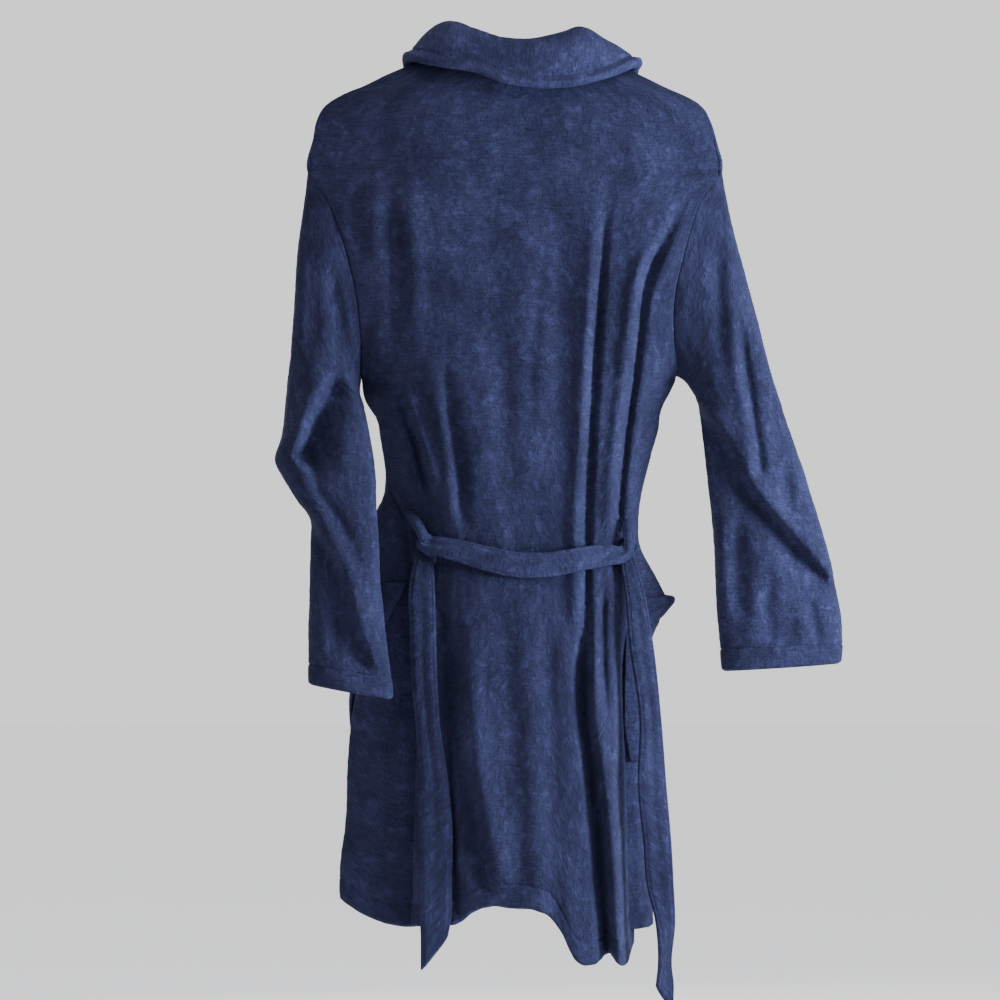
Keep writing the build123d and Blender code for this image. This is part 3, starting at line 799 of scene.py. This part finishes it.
COLLAR_BACK = [
    ((104, 3, -16), (101, 0, 10), (129, 7, -14)),
    ((96, 12, -16), (93, 14, 24), (111, 30, -19)),
    ((78, 20, -16), (78, 24, 29), (91, 42, -24)),
    ((46, 24, -16), (46, 32, 19), (46, 50, -32)),
    ((16, 25, -16), (16, 36, 9), (15, 54, -44)),
    ((-14, 25, -16), (-14, 37, 7), (-17, 55, -49)),
    ((-44, 24, -16), (-48, 34, 13), (-50, 53, -50)),
    ((-76, 20, -16), (-80, 26, 22), (-82, 46, -45)),
    ((-94, 12, -16), (-96, 12, 14), (-116, 30, -34)),
    ((-104, 3, -18), (-105, 0, 4), (-147, 7, -20)),
]

# The edge is a soft roll. The two layers are stitched together a little in from it, and then lie flat.
ROLL = 6.8
ROLL_STITCH = 15.0
COLLAR_BULGE = 0.10  # how far the collar stands away from its chord, against its width


def collar_section(seam, fold, edge, samples):
    """The collar's middle line at one place: up from its seam, over the fold and down to its edge.
    The points crowd together towards the edge, and their distances from it are returned too."""
    rise, fall = fold - seam, edge - fold
    outward = fold + fall / 2 - seam
    outward -= fall * (outward @ fall) / (fall @ fall)
    outward /= max(np.linalg.norm(outward), 1e-6)
    bulge = outward * np.linalg.norm(fall) * COLLAR_BULGE
    falling = [fold + fall * 0.18 + bulge, fold + fall / 2 + bulge, edge]
    line = along([seam, seam + rise * 0.55, fold, *falling], 90)
    run = run_along(line)
    from_edge = run[-1] * np.linspace(1, 0, samples) ** 1.8
    places = [np.interp(run[-1] - from_edge, run, line[:, k]) for k in range(3)]
    return np.stack(places, -1), from_edge


def collar_half(from_edge):
    """Half the collar's thickness, by distance from its edge."""
    roll = ROLL * np.sqrt(np.clip(1 - (1 - from_edge / ROLL) ** 2, 0.004, 1))
    flat = COLLAR_CLOTH / 2
    stitch = 1.3 * bell((from_edge - ROLL_STITCH) / 1.5)
    beyond = flat + (ROLL - flat) * bell((from_edge - ROLL) / 4) - stitch
    return np.where(from_edge < ROLL, roll, beyond)


def make_collar():
    """The shawl collar, in one run, cut at the shoulders into its back and two lapels."""
    stations = np.array([*COLLAR_LEFT, *COLLAR_BACK, *COLLAR_RIGHT], float)
    place = run_along(stations[:, 1])
    run = smooth([(s, *row.reshape(-1)) for s, row in zip(place, stations)])
    left_end, right_start = len(COLLAR_LEFT), len(COLLAR_LEFT) + len(COLLAR_BACK)
    first = (place[left_end - 1] + place[left_end]) / 2
    second = (place[right_start - 1] + place[right_start]) / 2
    parts = (
        ("left_lapel", 0.0, first, 170),
        ("back_collar", first, second, 190),
        ("right_lapel", second, place[-1], 170),
    )
    made = {}
    for name, start, end, rows in parts:
        values = run(np.linspace(start, end, rows)).reshape(rows, 3, 3)
        sections = [collar_section(*row, 58) for row in values]
        grid = np.array([section[0] for section in sections])
        from_edge = np.array([section[1] for section in sections])
        half = collar_half(from_edge)
        tilt = evened(normals(grid, True, False), False)
        uneven = 0.7 * ease(from_edge, 0, 3) * unevenness(grid, 11)
        outer = grid + tilt * (half + uneven)[..., None]
        piece = shell(f"{name}_cloth", outer, flip=True, inner=grid - tilt * half[..., None])
        finish_piece(piece, COLLAR_PLUSH_PAINTED_HIGHLIGHT, [name])
        made[name] = piece
    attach(made["back_collar"], "torso")
    for word in ("left", "right"):
        lapel = made[f"{word}_lapel"]
        bend(lapel)


# ---- Pockets ----
# How far along the front's cloth from its edge the pocket's outer and inner sides are, at its mouth and
# at its foot, the drops of the two ends of its mouth, and how far its mouth hangs open.
POCKETS = {
    1: dict(outer=(246, 190), inner=(76, 60), mouth_drops=(631, 640), mouth=8),
    -1: dict(outer=(232, 206), inner=(56, 50), mouth_drops=(649, 642), mouth=5),
}
POCKET_HEIGHT = 190
POCKET_LIFT = 4.6
POCKET_SWELL = 2.5


def make_pocket(side, word):
    """A patch pocket, each row of it laid along the front's cloth at that level."""
    facts = POCKETS[side]
    share = v = np.linspace(0, 1, 90)
    first_drop, last_drop = facts["mouth_drops"]
    start = first_drop + (last_drop - first_drop) * share
    run = np.linspace(0, 1, 240)
    grid = np.empty((len(v), len(share), 3))
    for r, down in enumerate(v):
        outer, inner = (facts[k][0] + (facts[k][1] - facts[k][0]) * down for k in ("outer", "inner"))
        from_edge = outer + (inner - outer) * share
        drops = start + down * POCKET_HEIGHT
        cloth = front_row(drops.mean(), side, run)
        turn = np.gradient(cloth, axis=0)
        length = np.linalg.norm(turn, axis=1)
        measured = np.cumsum(length[::-1])[::-1] - length[-1]
        normal = np.stack([-turn[:, 1], turn[:, 0]], -1) / length[:, None]
        place = [np.interp(from_edge, measured[::-1], cloth[::-1, k]) for k in (0, 1)]
        away = [np.interp(from_edge, measured[::-1], normal[::-1, k]) for k in (0, 1)]
        mouth = facts["mouth"] * (1 - down) ** 1.5 * np.sin(pi * share) ** 0.7
        swell = POCKET_SWELL * np.sin(pi * share) * np.sin(pi * down)
        lift = POCKET_LIFT + mouth + swell
        grid[r, :, 0] = place[0] + away[0] * lift
        grid[r, :, 1] = place[1] + away[1] * lift
        grid[r, :, 2] = -drops
    grid[..., 0] *= side
    flip = side < 0
    rim = 1.4 * bell((v - 0.05) / 0.06)[:, None] - 1.3 * bell((v - 0.14) / 0.014)[:, None]
    grid += normals(grid, flip, False) * (0.5 * unevenness(grid, 20 + side) + rim)[..., None]
    pocket = shell(f"{word}_pocket_cloth", grid, CLOTH, flip=flip)
    finish_piece(pocket, PLUSH, [f"{word}_pocket"])
    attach(pocket, f"{word}_front")


# ---- Belt ----
STITCH_DEPTH = 0.9


def ribbon(name, middle, half_width, thickness, across, columns=26, seed=30, seam=3.5, wrinkle=0.0):
    """A flat strap: middle line, half its width at each point, and the direction across it."""
    share = np.linspace(-1, 1, columns)
    out = unit(np.cross(across, np.gradient(middle, axis=0)))
    half = half_width[:, None]
    grid = middle[:, None, :] + across[:, None, :] * (share * half)[..., None]
    from_edge = (1 - np.abs(share)) * half
    puff = thickness / 2 * np.clip(1 - np.abs(share) ** 3, 0, 1) ** 0.5
    stitch = -STITCH_DEPTH * bell((from_edge - seam) / 1.2)
    progress = np.linspace(0, 1, len(middle))[:, None]
    turns = 1.7 * share + 7 * progress + 0.8 * np.sin(9 * progress)
    folds = wrinkle * np.sin(pi * turns) * (1 - share**2)
    lift = puff + stitch + folds + 0.25 * unevenness(grid, seed)
    outer = grid + out[:, None, :] * lift[..., None]
    return shell(name, outer, inner=grid - out[:, None, :] * np.maximum(puff, 0.5)[..., None])


def spread(values, reach, pick):
    """Each value's neighbours up to reach places away, picked from or averaged."""
    padded = np.pad(values, reach, mode="edge")
    return pick([padded[k:k + len(values)] for k in range(2 * reach + 1)], axis=0)


# Middle of the belt across the back, from the right loop to the left one: x and drop.
BELT_ROUTE = [
    (-139, 583), (-126, 596), (-110, 597), (-79, 601), (-40, 608), (0, 608), (34, 601), (66, 592),
    (88, 587), (101, 585), (108, 580),
]
# Half the belt's width and its twist in degrees, by its share of the way between the loops.
BELT_HALF = smooth([
    (0, 10), (0.06, 10), (0.14, 12.5), (0.3, 14), (0.5, 15), (0.75, 14), (0.88, 12.5), (1, 11),
])
BELT_TWIST = smooth([(0, 20), (0.2, 4), (0.5, -6), (0.8, 6), (1, 26)])
BELT_THICKNESS = 10.0
BELT_STAND = 5.5  # its middle stands this far off the highest cloth under it


def make_belt():
    """The belt's stretch across the back. It bridges the folds under it."""
    route = along(BELT_ROUTE, 130)
    under = back_y(route[:, :1], route[:, 1:] + np.linspace(-12, 12, 5)).max(axis=1)
    surface = spread(spread(under, 5, np.max), 7, np.mean)
    route = np.stack([route[:, 0], surface + BELT_STAND, -route[:, 1]], -1)
    share = np.linspace(0, 1, len(route))
    twist = radians(1) * BELT_TWIST(share)
    forward = unit(np.gradient(route, axis=0))
    up = unit(np.array([0, 0, 1.0]) - forward * forward[:, 2:3])
    out = np.cross(forward, up)
    across = up * np.cos(twist)[:, None] + out * np.sin(twist)[:, None]
    half = BELT_HALF(share)
    span = ribbon("belt_back_span_cloth", route, half, BELT_THICKNESS, across, seed=31, wrinkle=1.6)
    finish_piece(span, BELT_PLUSH_PAINTED_LIGHT, ["belt_back_span"])
    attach(span, "torso")


LOOP_WIDTH = 12.5
LOOP_RISE = 17.0
LOOP_BOW = -3.0
TAIL_PUFF = 3.6  # half the thickness of a belt end, two layers of plush
# Rows of (drop, inner x, outer x, y of the middle).
LEFT_TAIL_ROWS = [
    (588, 98, 114, 33), (604, 96, 119, 38), (640, 94, 125, 43), (677, 93, 124, 46), (743, 91, 122, 50),
    (792, 88, 117, 53), (862, 78, 112, 57), (922, 73, 113, 61), (982, 74, 112, 65), (1025, 75, 111, 68),
    (1041, 78, 110, 69),
]
RIGHT_TAIL_ROWS = [
    (588, -136, -124, 28), (604, -142, -124, 33), (649, -154, -130, 39), (691, -161, -133, 43),
    (790, -172, -146, 46), (867, -178, -144, 49), (941, -184, -151, 51), (982, -186, -154, 52),
    (1024, -188, -164, 52), (1080, -183, -168, 52), (1102, -186, -165, 52), (1112, -186, -164, 52),
]
# Rows of (drop, how far it is turned, in degrees).
LEFT_TAIL_TWIST = [(588, 0), (700, -8), (1080, 6)]
RIGHT_TAIL_TWIST = [(588, 0), (860, 25), (1000, 10), (1070, 50), (1130, 20)]


def make_tail(word, rows, tip_drops, twists):
    """A hanging end of the belt: tip_drops are how far its two corners hang, inner then outer."""
    count = 190
    down = np.linspace(0, 1, count)
    share = np.linspace(0, 1, 26)
    bottom = tip_drops[0] + (tip_drops[1] - tip_drops[0]) * share
    drop = rows[0][0] + down[:, None] * (bottom - rows[0][0])
    values = smooth(rows)(np.minimum(drop, rows[-1][0]))
    x = values[..., 0] + (values[..., 1] - values[..., 0]) * share
    middle = (values[..., 0] + values[..., 1]) / 2
    y = values[..., 2] + (x - middle) * np.tan(np.radians(smooth(twists)(drop)))
    y = y - 1.6 * bell((share - 0.5) / 0.16) * np.sin(down * pi)[:, None]
    grid = np.stack([x, y, -drop], -1)
    flip = x[0, 0] > x[0, -1]
    half = np.abs(values[..., 1] - values[..., 0]) / 2
    from_edge = (1 - np.abs(2 * share - 1)) * half
    puff = TAIL_PUFF * np.clip(1 - np.abs(2 * share - 1) ** 6, 0, 1) ** 0.5 * np.ones((count, 1))
    stitch = -STITCH_DEPTH * bell((from_edge - 3.5) / 1.2)
    outward = normals(grid, flip, False)
    outer = grid + outward * (puff + stitch + 0.25 * unevenness(grid, 40))[..., None]
    inner = grid - outward * np.maximum(puff, 0.5)[..., None]
    tail = shell(f"{word}_belt_tail_cloth", outer, flip=flip, inner=inner)
    finish_piece(tail, PLUSH, [f"{word}_belt_tail"])
    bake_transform(tail)


def make_loop(word, top, bottom):
    """A belt loop: a narrow strip sewn on at its two ends, and standing over the belt between them."""
    share = np.linspace(0, 1, 70)
    x = top[0] + (bottom[0] - top[0]) * share + LOOP_BOW * np.sin(pi * share)
    drop = top[1] + (bottom[1] - top[1]) * share
    lift = 1.0 + LOOP_RISE * np.sin(pi * share) ** 0.55
    surface = smooth(np.stack([share[::6], back_y(x, drop)[::6]], -1))(share)
    middle = np.stack([x, surface + lift, -drop], -1)
    forward = np.gradient(middle, axis=0)
    across = np.broadcast_to(np.array([1.0, 0.0, 0.0]), forward.shape).copy()
    across -= forward * (across * forward).sum(1, keepdims=True) / (forward**2).sum(1, keepdims=True)
    across = unit(across)
    half = np.full(len(middle), LOOP_WIDTH / 2)
    loop = ribbon(f"{word}_belt_loop_cloth", middle, half, 4.0, across, columns=14, seed=50, seam=2.0)
    finish_piece(loop, BELT_PLUSH_PAINTED_LIGHT, [f"{word}_belt_loop"])
    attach(loop, "torso")


# ---- Inside the neck ----
TAPE_WIDTH, TAPE_THICKNESS = 6.0, 1.8


def make_hang_loop():
    """A loop of tape, sewn on at its two ends."""
    low, high = mm_box("hang_loop")
    angle = np.linspace(0, pi, 60)
    half = (high[0] - low[0]) / 2 - 1
    depth = high[2] - low[2] - 1
    x = half * np.cos(angle)
    z = high[2] - depth * np.sin(angle) ** 0.8
    middle = np.stack([x, np.full_like(x, (low[1] + high[1]) / 2), z], -1)
    across = np.broadcast_to(np.array([0, 1.0, 0]), middle.shape).copy()
    widths = np.full(len(middle), TAPE_WIDTH / 2)
    loop = ribbon("hang_loop_tape", middle, widths, TAPE_THICKNESS, across, columns=10, seed=60, seam=0.8)
    finish_piece(loop, TAPE, ["hang_loop"])
    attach(loop, "hang_loop")


def make_label():
    """A blank woven label."""
    low, high = mm_box("neck_label")
    u, v = np.meshgrid(np.linspace(0, 1, 40), np.linspace(0, 1, 24))
    x = low[0] + (high[0] - low[0]) * u
    z = high[2] - (high[2] - low[2]) * v
    y = (low[1] + high[1]) / 2 + 0.5 * np.sin(u * 7 + v * 3)
    grid = np.stack([x, y, z], -1)
    label = shell("neck_label_cloth", grid[:, ::-1], 0.7)
    finish_piece(label, LABEL, ["neck_label"])
    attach(label, "torso")


# ---- Camera, light and floor ----
AIM = (17.5, 60, -532.5)
FRAME_WIDTH = 1170
CAMERA_DISTANCE = 6.0  # metres
SENSOR = 36
# Name, place from what the camera aims at, width, power and colour, in metres and watts.
LIGHTS = (
    ("key", (-1.35, 0.50, 0.10), 0.5, 100, (0.80, 0.90, 1.0)),
    ("top", (-0.5, 1.0, 1.7), 0.7, 22, (1.0, 1.0, 1.0)),
    ("front", (0.8, -2.4, 0.9), 1.8, 60, (1.0, 0.99, 0.97)),
)
FLOOR_BELOW = 0.28  # metres under the robe
FLOOR_RADIUS = 14


def make_stage():
    """A level camera behind the robe, a pale floor, and soft light mostly from the wearer's right."""
    middle = HANG_POINT + np.array(AIM) * MM
    camera = bpy.data.cameras.new("camera")
    camera.sensor_width = SENSOR
    camera.lens = SENSOR * CAMERA_DISTANCE / (FRAME_WIDTH * MM)
    away = middle + np.array([0, CAMERA_DISTANCE, 0])
    bpy.context.scene.camera = add_object("camera", camera, away, (pi / 2, 0, pi))

    world = bpy.data.worlds.new("studio")
    world.use_nodes = True
    background = world.node_tree.nodes["Background"]
    background.inputs["Color"].default_value = (0.97, 0.98, 1.0, 1)
    background.inputs["Strength"].default_value = 1.2
    bpy.context.scene.world = world

    for name, offset, size, power, colour in LIGHTS:
        light = bpy.data.lights.new(name, "AREA")
        light.size = size
        light.energy = power
        light.color = colour
        aimed = (-Vector(offset)).to_track_quat("-Z", "Y").to_euler()
        add_object(name, light, Vector(middle) + Vector(offset), aimed).visible_camera = False

    place = (0, 0, cad_low.z - FLOOR_BELOW)
    bpy.ops.mesh.primitive_circle_add(vertices=96, radius=FLOOR_RADIUS, fill_type="NGON", location=place)
    floor = bpy.context.object
    floor.name = "floor"
    material = bpy.data.materials.new("pale_floor")
    material.use_nodes = True
    shader = material.node_tree.nodes["Principled BSDF"]
    shader.inputs["Base Color"].default_value = (0.94, 0.94, 0.95, 1)
    shader.inputs["Roughness"].default_value = 0.9
    floor.data.materials.append(material)


make_stage()
make_back()
for side, word in ((1, "left"), (-1, "right")):
    make_front(side, word)
    make_sleeve(side, word)
    make_pocket(side, word)
make_collar()
make_belt()
make_tail("left", LEFT_TAIL_ROWS, (1041, 1081), LEFT_TAIL_TWIST)
make_tail("right", RIGHT_TAIL_ROWS, (1130, 1100), RIGHT_TAIL_TWIST)
make_loop("left", (123, 547), (97, 606))
make_loop("right", (-132, 556), (-130, 614))
make_hang_loop()
make_label()
